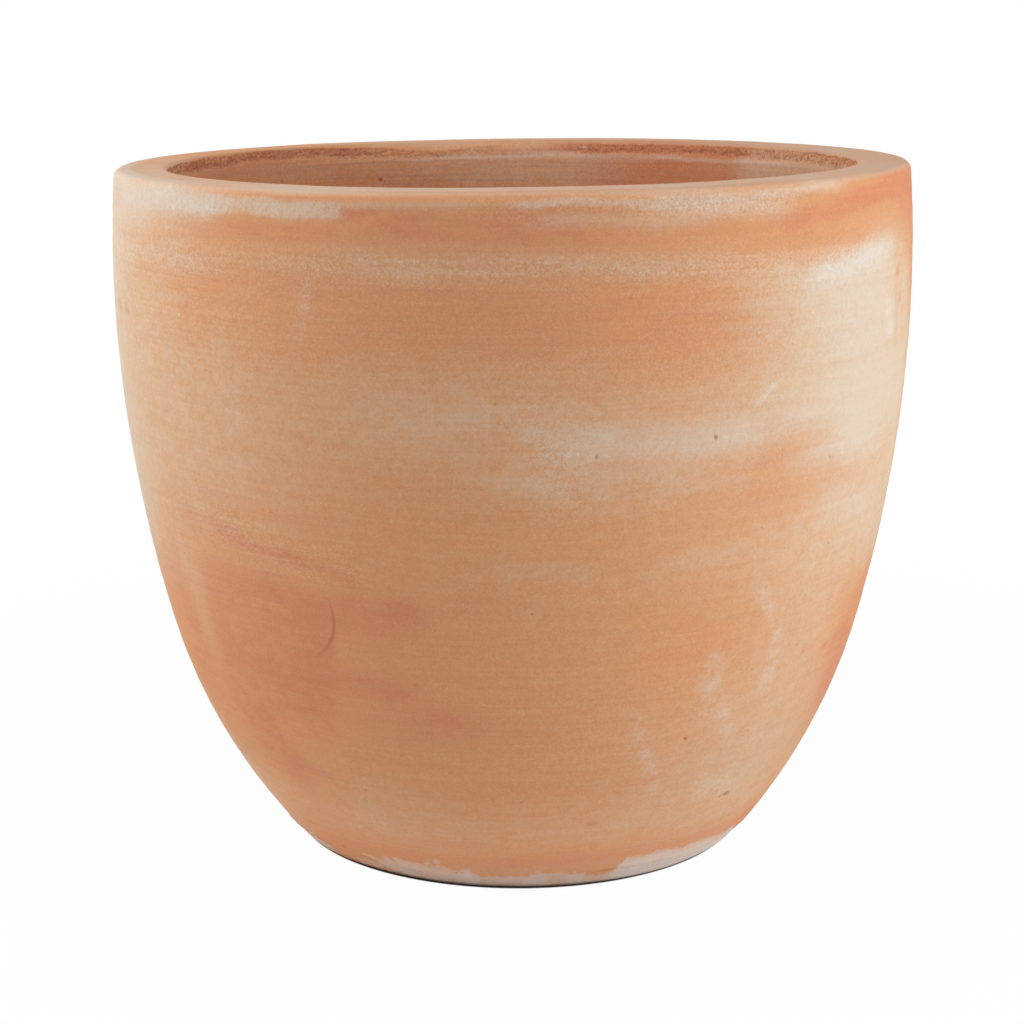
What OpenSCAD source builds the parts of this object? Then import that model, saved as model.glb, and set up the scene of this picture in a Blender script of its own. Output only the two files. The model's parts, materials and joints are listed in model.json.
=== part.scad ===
// Hand-made terracotta flower pot: a base slab, a bowl-shaped wall and a flat rim, luted together.
// Millimetres, +Z up, origin at the centre of the resting face under the foot.
// The outside of the wall is two arcs in a row: a flat one that is upright at the belly, and a
// tighter one below it that runs into the foot. The inside follows both at the wall's thickness.

/* [Overall] */
// Full height from the resting face to the top of the rim
pot_h = 343; // [285:1:412]
// Outer diameter at the belly, where the pot is widest
belly_d = 400; // [330:1:480]
// How far below the top of the rim the belly lies
belly_drop = 55; // [45:1:66]

/* [Wall] */
// Thickness of the wall, square to its surface
wall_t = 24; // [18:0.5:30]
// Outer diameter of the wall's lower edge, where it stands on the base slab
skirt_d = 250; // [208:1:300]
// Lean of the wall's lower edge from the upright, in degrees
flare = 38; // [31:1:46]

/* [Rim] */
// Height of the rim, from its seam with the wall to its flat top
rim_h = 33; // [27:1:40]
// Breadth of the rim across its top
rim_w = 27; // [22:0.5:33]
// Radius of the rim's outer edge
rim_round = 4; // [3:0.5:5]
// Radius of the rim's inner edge
rim_inner_round = 5; // [4:0.5:6]

/* [Base slab] */
// Thickness of the base slab
base_t = 24; // [20:0.5:29]
// Height of the slab's edge that shows under the wall
foot_h = 10; // [8:0.5:12]
// How far the wall overhangs the slab's edge
foot_lap = 2.5; // [2:0.1:3]
// How much the slab's edge draws in from the wall to the resting face, on the radius
foot_taper = 7; // [5.5:0.1:8.5]
// Bevel of the slab's lower edge
foot_bevel = 1.5; // [1:0.1:2]
// Diameter of the drain hole
drain_d = 25; // [20:0.5:30]
// Bevel of the drain hole's two edges
drain_bevel = 2; // [1.5:0.1:2.5]

/* [Fit] */
// Layer of slip round the slab's raised middle, inside the wall
slip_gap = 0.2; // [0.1:0.05:0.3]

/* [Hidden] */
$fn = 256;
// Facets on each rounded edge of the rim
edge_steps = 10;
// Spare length by which a cutting outline passes the wall
spare = 12;

// The two ends of the outer profile, as [radius, height]: upright at the belly, leaning by flare at the skirt
belly = [belly_d / 2, pot_h - belly_drop];
skirt = [skirt_d / 2, foot_h];

// Where the two arcs meet, the wall leans as the straight line between those ends does
span = belly - skirt;
bend_lean = atan2(span.x, span.y);

// How far an arc of unit radius runs [inwards, down], above the bend and below it
upper_run = [1 - cos(bend_lean), sin(bend_lean)];
lower_run = [cos(bend_lean) - cos(flare), sin(flare) - sin(bend_lean)];

// The two radii make both runs together add up to the span
run_cross = cross(upper_run, lower_run);
upper_r = cross(span, lower_run) / run_cross;
lower_r = cross(upper_run, span) / run_cross;
upper_c = belly - [upper_r, 0];
lower_c = skirt + lower_r * [-cos(flare), sin(flare)];
bend_out = [cos(bend_lean), -sin(bend_lean)];
bend = upper_c + upper_r * bend_out;

// Radius of the pot at height z on an arc about centre c
function radius_at(c, r, z) = c.x + sqrt(r * r - (z - c.y) * (z - c.y));

// The seam lines: the rim's seat on the wall, and the wall's seat round the slab's raised middle
rim_z = pot_h - rim_h;
rim_seat_out = radius_at(upper_c, upper_r, rim_z);
rim_seat_in = radius_at(upper_c, upper_r - wall_t, rim_z);
rim_top_out = radius_at(upper_c, upper_r, pot_h);
rim_top_in = rim_top_out - rim_w;
floor_seat_r = radius_at(lower_c, lower_r - wall_t, base_t);
slab_r = skirt.x - foot_lap;
foot_r = slab_r - foot_taper;
drain_r = drain_d / 2;

// The line across the wall where the two arcs meet, from inside the pot to outside it
bend_inner_end = bend - (wall_t + spare) * bend_out;
bend_outer_end = bend + spare * bend_out;
clear_r = belly.x + spare;

function arc_points(c, r, start, end) =
    [for (i = [0 : edge_steps]) let (a = start + (end - start) * i / edge_steps) c + r * [cos(a), sin(a)]];

// Section of a wall of even thickness along one arc
module arc_band(c, r) {
    translate(c) difference() {
        circle(r);
        circle(r - wall_t);
    }
}

// Floor disc: a tapered edge that shows as the foot, a raised middle and the drain hole
module base_slab() {
    raised_r = floor_seat_r - slip_gap;
    section = [
        [drain_r + drain_bevel, 0],
        [foot_r - foot_bevel, 0],
        [foot_r, foot_bevel],
        [slab_r, foot_h],
        [raised_r, foot_h],
        [raised_r, base_t],
        [drain_r + drain_bevel, base_t],
        [drain_r, base_t - drain_bevel],
        [drain_r, drain_bevel],
    ];
    color("tan") rotate_extrude() polygon(section);
}

// Bowl-shaped wall: stands on the slab's edge, laps round its raised middle and carries the rim
module wall() {
    color("peru") rotate_extrude() {
        intersection() {
            arc_band(upper_c, upper_r);
            polygon([bend_inner_end, bend_outer_end, [clear_r, bend_outer_end.y],
                [clear_r, rim_z], [bend_inner_end.x, rim_z]]);
        }
        intersection() {
            arc_band(lower_c, lower_r);
            polygon([bend_inner_end, bend_outer_end, [clear_r, bend_outer_end.y],
                [clear_r, foot_h], [floor_seat_r, foot_h], [floor_seat_r, bend_inner_end.y]]);
        }
    }
}

// Flat-topped rim: thickens towards the inside as it rises from the wall, with rounded edges
module rim() {
    outer_edge = [rim_top_out - rim_round, pot_h - rim_round];
    inner_edge = [rim_top_in + rim_inner_round, pot_h - rim_inner_round];
    section = concat(
        [[rim_seat_in, rim_z], [rim_seat_out, rim_z]],
        arc_points(outer_edge, rim_round, 0, 90),
        arc_points(inner_edge, rim_inner_round, 90, 180));
    color("burlywood") rotate_extrude() polygon(section);
}

base_slab();
wall();
rim();
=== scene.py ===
"""Looks of a hand-made terracotta flower pot round its CAD frame: foot, wall, rim, stains and marks."""

import json
import math
from collections import namedtuple

import bmesh
import bpy
import numpy as np
from bpy.props import FloatProperty, FloatVectorProperty, IntProperty, PointerProperty
from mathutils import Matrix, Vector, noise


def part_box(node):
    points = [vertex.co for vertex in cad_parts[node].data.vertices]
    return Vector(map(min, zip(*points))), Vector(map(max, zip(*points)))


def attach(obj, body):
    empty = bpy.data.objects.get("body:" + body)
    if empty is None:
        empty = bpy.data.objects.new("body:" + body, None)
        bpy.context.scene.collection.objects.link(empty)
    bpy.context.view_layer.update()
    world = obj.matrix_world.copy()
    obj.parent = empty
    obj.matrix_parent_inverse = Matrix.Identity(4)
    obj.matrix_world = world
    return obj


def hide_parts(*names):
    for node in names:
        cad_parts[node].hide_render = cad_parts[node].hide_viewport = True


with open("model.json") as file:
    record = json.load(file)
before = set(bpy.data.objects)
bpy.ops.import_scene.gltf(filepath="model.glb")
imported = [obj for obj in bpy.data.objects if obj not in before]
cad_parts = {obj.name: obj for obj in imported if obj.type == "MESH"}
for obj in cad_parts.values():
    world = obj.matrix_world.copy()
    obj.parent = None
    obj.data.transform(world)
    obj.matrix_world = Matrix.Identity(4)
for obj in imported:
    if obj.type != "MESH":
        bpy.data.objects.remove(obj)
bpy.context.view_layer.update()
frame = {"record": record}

bl_info = {
    "name": "Terracotta flower pot",
    "version": (1, 0, 0),
    "blender": (4, 5, 0),
    "location": "3D View > Sidebar > Pot",
    "description": "Builds the looks of a hand-made terracotta pot round its CAD frame",
    "category": "Object",
}

MM = 0.001

# Corners of the three CAD solids' boxes
SLAB_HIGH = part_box("base_slab")[1]
WALL_LOW, WALL_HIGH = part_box("wall")
RIM_LOW, RIM_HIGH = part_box("rim")


def mount_radius(name):
    """Radius in metres of one of the record's bores."""
    for mount in frame["record"]["mounts"]:
        if mount["name"] == name:
            return mount["dims"]["r_mm"] * MM
    raise ValueError("the record has no mount named " + name)


# Sizes, hand marks, colours and light that a user may change


def length(name, description, default):
    """A property for a length in metres."""
    return FloatProperty(name=name, description=description, default=default, unit="LENGTH", precision=5)


def angle(name, description, degrees):
    """A property for an angle, given here in degrees."""
    return FloatProperty(name=name, description=description, default=math.radians(degrees), subtype="ANGLE")


def count(name, description, default):
    """A property for a number of steps round a piece."""
    return IntProperty(name=name, description=description, default=default, min=3)


def amount(name, description, default):
    """A property for a plain number."""
    return FloatProperty(name=name, description=description, default=default)


def colour(name, description, default):
    """A property for a colour in linear light."""
    return FloatVectorProperty(
        name=name, description=description, default=default, subtype="COLOR", size=3, min=0.0, max=1.0
    )


class PotSizes(bpy.types.PropertyGroup):
    """Sizes of the turned form, before the maker's hands moved it."""

    height: length("Height", "From the resting face to the top of the rim", RIM_HIGH.z)
    belly_radius: length("Belly radius", "Outer radius where the pot is widest", WALL_HIGH.x)
    belly_drop: length("Belly drop", "How far the belly lies below the top of the rim", 55 * MM)
    wall_thickness: length("Wall thickness", "Thickness square to the wall", 24 * MM)
    skirt_radius: length("Skirt radius", "Outer radius of the wall's lower edge", 125 * MM)
    skirt_round: length("Skirt round", "Radius of the wall's lower edge", 2 * MM)
    flare: angle("Flare", "Lean of the wall's lower edge from the upright", 38)
    rim_height: length("Rim height", "From the rim's seam to its top", RIM_HIGH.z - RIM_LOW.z)
    rim_breadth: length("Rim breadth", "Breadth of the rim across its top", 27 * MM)
    rim_round: length("Rim round", "Radius of the rim's outer edge", 4 * MM)
    rim_inner_round: length("Rim inner round", "Radius of the rim's inner edge", 5 * MM)
    slab_thickness: length("Slab thickness", "Thickness of the base slab", SLAB_HIGH.z)
    slab_radius: length("Slab radius", "Outer radius of the base slab under the wall", SLAB_HIGH.x)
    foot_height: length("Foot height", "Height of the slab's edge under the wall", WALL_LOW.z)
    foot_taper: length("Foot taper", "How much the slab's edge draws in towards the ground", 7 * MM)
    foot_bevel: length("Foot bevel", "Bevel of the slab's lower edge", 1.5 * MM)
    drain_radius: length("Drain radius", "Radius of the drain hole", mount_radius("drain_hole"))
    drain_bevel: length("Drain bevel", "Bevel of the drain hole's edges", 2 * MM)
    slip_gap: length("Slip gap", "Layer of slip round the slab's raised middle", 0.2 * MM)
    wall_steps: count("Wall steps", "Steps round the wall", 540)
    rim_steps: count("Rim steps", "Steps round the rim", 1080)
    slab_steps: count("Slab steps", "Steps round the base slab", 540)


class HandMarks(bpy.types.PropertyGroup):
    """How the maker's hands moved the clay away from the turned form."""

    lean: length("Lean", "How far the foot stands to the right of the rim", 4.4 * MM)
    lean_reach: length("Lean reach", "Height over which the lean fades", 80 * MM)
    bow: length("Bow", "How far the middle of the wall stands to the right of the rim", 0.7 * MM)
    tilt: angle("Tilt", "Slope of the rim's plane, higher on the right", 0.6)
    wobble: length("Wobble", "How far the pot is out of round", 0.45 * MM)
    ridge_depth: length("Ridge depth", "Depth of the turning ridges", 0.16 * MM)
    ridge_pitch: length("Ridge pitch", "Height of a turning ridge", 5 * MM)
    rim_wave: length("Rim wave", "Waviness of the rim's top", 0.2 * MM)
    tear_depth: length("Tear depth", "Depth of the torn band inside the rim", 0.9 * MM)
    tear_fray: length("Tear fray", "How far the torn band's edges are frayed", 0.7 * MM)
    crumb_depth: length("Crumb depth", "Height of the crumbs in the torn band", 1.4 * MM)
    crumb_size: length("Crumb size", "Breadth of a crumb in the torn band", 2.2 * MM)
    droop: length("Droop", "How far the wall's lower edge hangs over the slab", 3 * MM)
    smear_gap: length("Smear gap", "How far the smeared slab stays inside the wall's edge", 0.3 * MM)
    foot_lumps: length("Foot lumps", "Height of the lumps on the slab's edge", 0.5 * MM)
    foot_grains: length("Foot grains", "Height of the grains on the slab's edge", 0.2 * MM)
    thumb_depth: length("Thumb depth", "Depth of the thumb's crescent in the wall", 0.6 * MM)


class ClayColours(bpy.types.PropertyGroup):
    """Colours of the fired clay and its stains, in linear light."""

    tan: colour("Tan", "Pale fired clay", (0.690, 0.338, 0.160))
    orange: colour("Orange", "Strong fired clay", (0.690, 0.314, 0.140))
    fire: colour("Fire", "Red flash from the kiln", (0.660, 0.266, 0.135))
    ember: colour("Ember", "Darkest part of a red flash", (0.630, 0.212, 0.095))
    # Partly a real golden haze, partly painted sheen that pales the brightly lit sides
    haze: colour("Haze", "Thin golden haze", (0.700, 0.595, 0.440))
    bloom: colour("Bloom", "Pale lime bloom", (0.700, 0.600, 0.490))
    chalk: colour("Chalk", "Chalky smears and spots", (0.730, 0.645, 0.560))
    brown: colour("Brown", "Clay inside the pot", (0.740, 0.385, 0.218))
    # Painted shade in the gaps between the torn band's crumbs
    gap_shade: colour("Hollow", "Torn clay between crumbs", (0.240, 0.084, 0.036))
    lime: colour("Lime", "Pale grey lime on the foot", (0.725, 0.628, 0.562))
    speck: colour("Speck", "Dark specks in the clay", (0.160, 0.070, 0.040))


class StudioLight(bpy.types.PropertyGroup):
    """Lamps, fill, floor and camera."""

    fill: amount("Fill", "Strength of the white surroundings", 0.382)
    right_power: amount("Right power", "Power of the right lamp in watts", 3.6)
    right_azimuth: angle("Right azimuth", "Where the right lamp stands, 0 at the camera", 61.5)
    right_distance: length("Right distance", "From the pot's axis to the right lamp", 0.85)
    right_height: length("Right height", "Height of the right lamp's middle", 0.4)
    left_power: amount("Left power", "Power of the left lamp in watts", 4.1)
    left_azimuth: angle("Left azimuth", "Where the left lamp stands, 0 at the camera", -77)
    left_distance: length("Left distance", "From the pot's axis to the left lamp", 0.85)
    left_height: length("Left height", "Height of the left lamp's middle", 0.62)
    back_power: amount("Back power", "Power of the lamp behind the pot in watts", 5.6)
    back_azimuth: angle("Back azimuth", "Where the back lamp stands, 0 at the camera", 180)
    back_distance: length("Back distance", "From the pot's axis to the back lamp", 2.4)
    back_height: length("Back height", "Height of the back lamp's middle", 0.9)
    top_power: amount("Top power", "Power of the lamp over the pot in watts", 4.1)
    top_azimuth: angle("Top azimuth", "Where the upper lamp stands, 0 at the camera", -25)
    top_distance: length("Top distance", "From the pot's axis to the upper lamp", 0.6)
    top_height: length("Top height", "Height of the lamp over the pot", 1.9)
    lamp_size: length("Lamp size", "Breadth of a lamp", 0.6)
    floor_radius: length("Floor radius", "Radius of the floor", 4.0)
    floor_colour: colour("Floor colour", "Colour of the lit floor", (0.84, 0.84, 0.84))
    floor_white: amount("Floor white", "How much of the floor's own white the camera sees", 0.97)
    fade_start: length("Fade start", "From the pot to where the floor begins to turn plain white", 0.25)
    fade_end: length("Fade end", "From the pot to where the floor is plain white", 0.9)
    # Painted shadow: a dark ring painted on the floor where the foot meets it, with its colour, radii and
    # shift
    contact_shadow_colour: colour("Contact colour", "Line where the foot meets the floor", (0.10, 0.09, 0.08))
    contact_inner: length("Contact inner", "Radius up to which that line is in full", 114.9 * MM)
    contact_outer: length("Contact outer", "Radius at which that line ends", 116.1 * MM)
    contact_left: length("Contact left", "How far that line lies to the left of the foot", 1.3 * MM)
    contact_near: length("Contact near", "How far that line lies towards the camera", 0.8 * MM)
    camera_distance: length("Camera distance", "From the pot's axis to the camera", 1.1506)
    camera_height: length("Camera height", "Height of the camera", 0.4184)
    aim_height: length("Aim height", "Height that the camera and the lamps look at", 0.1616)
    sensor_width: amount("Sensor width", "Breadth of the camera's sensor in millimetres", 36.0)
    picture_pixels: amount("Picture width in pixels", "Breadth of the photograph", 1024)
    focal_pixels: amount("Focal length in pixels", "For a picture of that breadth", 2263.6)


# Stains on the outside. An azimuth is in degrees, 0 at the camera and positive to its right, and other
# sizes are in millimetres. A stain runs from start to end, each an azimuth and a height. It has half its
# strength at half_run beside that line and at half_rise above it. An edge of 2 is soft, and 8 is firm.

Stain = namedtuple("Stain", "layer start end half_run half_rise strength edge", defaults=(2,))

OUTSIDE_STAINS = (
    # The pale left side, thinning out towards the middle: partly a real haze, partly painted sheen on the
    # brightly lit side
    Stain("haze", (-80, 318), (-80, 185), 58, 30, 0.76),
    Stain("haze", (-53, 250), (-49, 218), 58, 28, 0.32),
    Stain("haze", (-60, 300), (-58, 285), 26, 14, 0.15),
    Stain("bloom", (-80, 320), (-78, 190), 34, 24, 0.4),
    Stain("haze", (-30, 250), (-14, 248), 50, 18, 0.1),
    Stain("haze", (-41, 272), (-41, 228), 5, 12, 0.10),
    Stain("haze", (-56, 160), (-56, 130), 5, 12, 0.14),
    Stain("haze", (-49.5, 204), (-49, 190), 4, 8, 0.14),
    # Lime under the rim on the left, and thin streaks of it further right
    Stain("bloom", (-66, 333), (-44, 334.5), 20, 5.6, 0.82, 3),
    Stain("chalk", (-64, 333.5), (-46, 334), 14, 2.6, 0.3),
    Stain("bloom", (-82, 339), (-50, 339.8), 14, 3.6, 0.55, 2.5),
    Stain("bloom", (-76, 330), (-72, 300), 24, 14, 0.26),
    Stain("bloom", (-44, 335.8), (-23, 335), 6, 3.4, 0.52, 4),
    Stain("bloom", (-64, 324), (-52, 326), 20, 5, 0.32),
    Stain("haze", (-30, 337), (-6, 337.5), 14, 1.4, 0.3),
    Stain("bloom", (4, 337), (22, 337.5), 12, 1.8, 0.4, 2.5),
    Stain("bloom", (20, 336), (33, 333), 12, 4, 0.42),
    Stain("bloom", (28, 338), (44, 340), 10, 2.2, 0.5, 2.5),
    Stain("haze", (8, 330), (20, 329), 14, 3, 0.25),
    Stain("grit", (-50, 333), (-22, 334), 12, 6, 0.28, 3),
    Stain("grit", (0, 335), (36, 337), 12, 6, 0.55, 3),
    Stain("fire", (-34, 340.2), (-8, 340.4), 10, 1.1, 0.3, 3),
    # The grainy band along the rim's seam
    Stain("bloom", (-66, 312), (-50, 312), 20, 6, 0.2),
    Stain("bloom", (-48, 311), (-14, 312), 24, 5.5, 0.14),
    Stain("bloom", (-14, 312), (18, 311), 24, 5.5, 0.16),
    Stain("bloom", (18, 309), (36, 306), 20, 4.5, 0.17),
    Stain("grit", (-50, 311), (26, 308), 14, 7, 0.46),
    Stain("grit", (-60, 285), (36, 285), 30, 24, 0.4),
    # Lime bloom on the right shoulder, with a slanting upper edge, sweeping down the right side; the haze
    # beside it is partly painted sheen on the brightly lit side
    Stain("bloom", (44, 301), (60, 308), 15, 6.5, 0.55, 3.5),
    Stain("chalk", (46, 303), (57, 307), 9, 4, 0.65),
    Stain("haze", (34, 300), (44, 302), 14, 7, 0.28),
    Stain("bloom", (53, 298), (56, 226), 28, 10, 0.84, 2.5),
    Stain("haze", (61, 300), (68, 236), 26, 14, 0.75),
    Stain("haze", (45, 290), (46, 250), 24, 14, 0.56),
    Stain("haze", (36, 288), (37, 256), 30, 14, 0.32),
    Stain("haze", (71, 290), (74, 200), 10, 12, 0.5),
    Stain("bloom", (47, 217), (58, 213), 20, 6, 0.42, 2.5),
    Stain("bloom", (52, 193), (59, 188), 18, 7, 0.46, 2.5),
    Stain("haze", (52, 208), (58, 172), 28, 16, 0.36),
    Stain("haze", (66, 236), (70, 170), 30, 18, 0.6, 2.5),
    Stain("haze", (46, 238), (52, 226), 20, 8, 0.36),
    # The pale band across the middle
    Stain("bloom", (7, 236), (30, 233), 14, 8, 0.43, 2.5),
    Stain("bloom", (12, 237), (30, 235), 10, 4.5, 0.28),
    Stain("bloom", (1, 246), (6, 228), 9, 7, 0.1),
    Stain("bloom", (3, 216), (11, 213), 9, 2.6, 0.22),
    Stain("bloom", (-9, 247), (-5, 246), 7, 3, 0.18),
    Stain("bloom", (10, 222), (22, 218), 10, 1.3, 0.2),
    Stain("bloom", (20, 212), (28, 214), 10, 1.3, 0.18),
    Stain("grit", (1, 248), (7, 212), 10, 8, 0.5),
    Stain("haze", (-12, 246), (38, 248), 34, 18, 0.22),
    Stain("haze", (2, 219), (28, 218), 24, 8, 0.18),
    Stain("haze", (14, 208), (30, 206), 24, 8, 0.1),
    Stain("bloom", (32, 238), (46, 238), 22, 9, 0.38),
    Stain("haze", (4, 190), (14, 70), 60, 40, 0.06),
    # Faint dashes and a smear
    Stain("bloom", (1.5, 177), (7, 177), 9, 3, 0.18),
    Stain("bloom", (24, 177), (28, 178), 9, 4, 0.14),
    Stain("bloom", (-26, 299), (-26, 286), 3.5, 5, 0.2, 2.5),
    # Haze low on the right
    Stain("haze", (49, 160), (47, 60), 36, 30, 0.36),
    Stain("haze", (32, 178), (44, 182), 40, 16, 0.2),
    Stain("haze", (30, 70), (56, 52), 40, 26, 0.2),
    Stain("haze", (20, 40), (36, 36), 50, 14, 0.14),
    Stain("haze", (-26, 50), (-22, 40), 34, 16, 0.16),
    Stain("haze", (-27, 43), (-26, 40), 7, 5, 0.14, 2.5),
    Stain("haze", (-72, 66), (-62, 26), 18, 14, 0.36),
    Stain("haze", (-54, 40), (-40, 32), 26, 12, 0.14),
    Stain("haze", (-8, 38), (16, 36), 30, 12, 0.09),
    # Finger smears
    Stain("chalk", (19.8, 99), (21.8, 82), 2.9, 3, 0.2, 2.5),
    Stain("chalk", (21.8, 82), (24.4, 60), 2.4, 3, 0.2, 2.5),
    Stain("chalk", (30.5, 127), (31.5, 110), 4.4, 3, 0.22, 2.5),
    Stain("chalk", (31.5, 110), (33.5, 98), 4.4, 3, 0.13, 2.5),
    Stain("chalk", (34.5, 98), (38, 80), 4.0, 3, 0.16, 2.5),
    Stain("chalk", (41.5, 133), (41, 106), 3.6, 4, 0.17, 2.5),
    Stain("chalk", (38.5, 158), (39.5, 146), 4, 5, 0.18, 2.5),
    Stain("chalk", (35, 56), (39.5, 54), 6, 4, 0.22),
    # A scratch and an oval spot
    Stain("chalk", (33, 250), (36, 255.5), 1.5, 1.3, 0.4, 3),
    Stain("chalk", (62, 278), (62, 268), 5.5, 4, 0.62, 3),
    # The red patch low on the left, with a flat upper edge
    Stain("fire", (-49, 140), (-32, 138), 14, 29, 0.7, 8),
    Stain("fire", (-49, 104), (-33, 106), 14, 20, 0.58, 4),
    Stain("fire", (-61, 136), (-58, 108), 9, 24, 0.5, 2.5),
    Stain("fire", (-67, 130), (-63, 90), 10, 20, 0.36),
    Stain("fire", (-49, 86), (-43, 60), 14, 13, 0.56, 3.5),
    Stain("fire", (-43, 56), (-40, 40), 8, 10, 0.4, 2.5),
    Stain("fire", (-30, 152), (-15, 154), 12, 9, 0.62, 3.5),
    Stain("fire", (-16, 157), (-6, 160), 14, 5, 0.26),
    Stain("fire", (-29, 141), (-19, 142), 10, 5, 0.34, 2.5),
    Stain("fire", (-51, 159), (-37, 160), 9, 8, 0.5, 3.5),
    Stain("fire", (-27, 151), (-18, 153), 9, 7, 0.4, 3),
    Stain("fire", (-31, 120), (-18, 117), 12, 7.5, 0.66, 3),
    Stain("fire", (-18, 115), (-10, 102), 10, 6, 0.44, 2.5),
    Stain("fire", (-33, 104), (-14, 99), 16, 9, 0.4),
    Stain("fire", (-12, 99), (3, 95), 16, 6, 0.2),
    Stain("fire", (-38, 63), (-35, 61), 5, 3, 0.5, 3),
    # Ragged marks above that patch
    Stain("fire", (-51.5, 206), (-52, 182), 2.5, 6, 0.4),
    Stain("fire", (-51, 188), (-43, 183), 7, 3, 0.78, 2.5),
    Stain("fire", (-47, 178), (-36, 179), 10, 2.6, 0.3),
    Stain("fire", (-41, 182), (-32, 178), 6, 2.4, 0.78, 2.5),
    Stain("fire", (-32, 177), (-22, 167), 5, 2.4, 0.75, 2.5),
    Stain("fire", (-50, 203), (-44, 201), 8, 3, 0.45, 2.5),
    Stain("fire", (-38, 198), (-28, 196), 12, 3.5, 0.3),
    Stain("grit", (-52, 192), (-24, 174), 14, 9, 0.8, 3),
    # Red under the rim, and the wedge at its right end
    Stain("fire", (-48, 325), (-36, 323.5), 14, 2.4, 0.42),
    Stain("fire", (-34, 325), (-14, 327), 20, 5, 0.36),
    Stain("fire", (-14, 328), (6, 328), 20, 7, 0.58),
    Stain("fire", (6, 325), (34, 323), 24, 5, 0.3),
    Stain("fire", (-48, 302.5), (-8, 302), 24, 3, 0.25),
    Stain("fire", (38, 328), (58, 333), 12, 3.2, 0.8, 2.5),
    Stain("fire", (48, 334.5), (64, 337), 12, 3.2, 0.85, 2.2),
    Stain("fire", (62, 335), (80, 333), 14, 6, 1.0, 3),
    Stain("fire", (70, 328), (80, 318), 9, 9, 0.7, 2.5),
    Stain("fire", (76, 326), (79, 276), 7, 12, 0.7, 2.5),
    Stain("fire", (40, 321), (66, 320), 20, 6, 0.22),
    Stain("fire", (-21, 334), (-17, 334), 3, 1.8, 1.0, 4),
    Stain("fire", (-16, 333), (-10, 333.5), 4, 1.8, 0.5, 3),
    # Orange on the upper body and on the right
    Stain("fire", (-24, 284), (20, 284), 40, 16, 0.18),
    Stain("fire", (20, 285), (27, 280), 20, 12, 0.2),
    Stain("fire", (33, 203), (46, 202), 18, 8, 0.2),
    Stain("fire", (32, 219), (42.5, 222), 9, 3.2, 0.34),
    Stain("fire", (47, 199), (50, 198), 6, 2.5, 0.3),
    # Red low on the right edge
    Stain("fire", (72, 138), (80, 125), 17, 15, 0.56, 4),
    Stain("fire", (65.5, 112), (72, 100), 16, 15, 0.84, 4),
    Stain("fire", (64, 92), (70, 80), 13, 11, 0.84, 4),
    Stain("fire", (66, 158), (72, 157), 10, 4, 0.4),
    # The line over the foot
    Stain("haze", (-10, 15), (22, 14), 14, 4, 0.14),
    Stain("fire", (-30, 26), (-8, 27), 20, 5, 0.22),
    Stain("fire", (-6, 20), (28, 20), 20, 3, 0.2),
    Stain("fire", (28, 22), (58, 21), 20, 3, 0.28),
    Stain("fire", (58, 21), (66, 20), 14, 4, 0.5),
    # Stray rusty spots
    Stain("rust", (-71.5, 280), (-70.5, 279.5), 3, 2.2, 0.5, 3),
    Stain("rust", (-66.5, 281), (-66, 281), 2.2, 1.8, 0.55, 3),
    Stain("rust", (65.6, 296.3), (66.2, 296), 2.6, 2, 0.45, 3),
    Stain("rust", (67, 283.5), (67.2, 283), 2.4, 2.4, 0.4, 3),
    Stain("rust", (65, 290), (65.5, 263), 2.2, 4, 0.18),
    Stain("rust", (13.3, 41), (13.8, 41), 2.4, 1.8, 0.5, 2.5),
    Stain("rust", (58.2, 118), (59, 117), 3, 1.4, 0.5, 2.5),
    Stain("rust", (50.5, 121), (51, 120), 1.6, 1.2, 0.55, 2.5),
    # Lime on the foot and the lowest wall
    Stain("lime", (-37, 12), (-34, 10), 3, 2.5, 0.6, 4),
    Stain("lime", (-32, 9), (-30, 10), 3, 5, 0.55, 4),
    Stain("lime", (-42, 3), (-28, 2), 6, 5, 0.5, 3),
    Stain("lime", (-27, 5.5), (-12, 4.5), 5, 9, 0.66, 6),
    Stain("lime", (-20, 17), (-18, 17), 4, 1.6, 0.5, 3),
    Stain("lime", (-12, 4), (3, 2.5), 6, 8, 0.7, 6),
    Stain("lime", (3, 3.5), (13, 2.5), 6, 7.6, 0.62, 6),
    Stain("lime", (13, 0), (26, 0), 6, 7.2, 0.6, 5),
    Stain("lime", (25, 4), (58, 3), 7, 12, 1.0, 7),
    Stain("lime", (58, 0), (90, 0), 8, 9, 1.0, 6),
    Stain("lime", (-84, 8), (-56, 6), 8, 7, 0.55, 4),
    # The two sides, where the front's stains thin out
    Stain("haze", (97, 290), (98, 215), 36, 30, 0.4),
    Stain("haze", (-100, 300), (-104, 220), 46, 30, 0.42),
    Stain("fire", (86, 116), (98, 98), 22, 18, 0.42),
    Stain("fire", (92, 328), (112, 324), 24, 6, 0.4),
    # The far side
    Stain("bloom", (100, 300), (150, 285), 50, 14, 0.55),
    Stain("bloom", (168, 236), (210, 226), 40, 15, 0.6),
    Stain("bloom", (112, 220), (118, 160), 40, 26, 0.4),
    Stain("bloom", (236, 320), (262, 318), 40, 10, 0.5),
    Stain("bloom", (196, 309), (250, 309), 30, 6, 0.3),
    Stain("bloom", (200, 170), (204, 110), 16, 20, 0.2),
    Stain("grit", (85, 306), (285, 308), 14, 7, 0.55),
    Stain("fire", (130, 120), (172, 96), 46, 28, 0.7, 3),
    Stain("fire", (142, 150), (166, 146), 30, 10, 0.6, 3),
    Stain("fire", (176, 322), (238, 324), 30, 6, 0.5),
    Stain("fire", (214, 270), (250, 258), 46, 24, 0.4),
    Stain("fire", (230, 92), (262, 78), 36, 24, 0.45),
    Stain("fire", (96, 18), (280, 17), 30, 4.5, 0.4),
    Stain("chalk", (150, 210), (156, 188), 4, 4, 0.4, 3),
    Stain("chalk", (220, 138), (226, 114), 4, 4, 0.4, 3),
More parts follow.
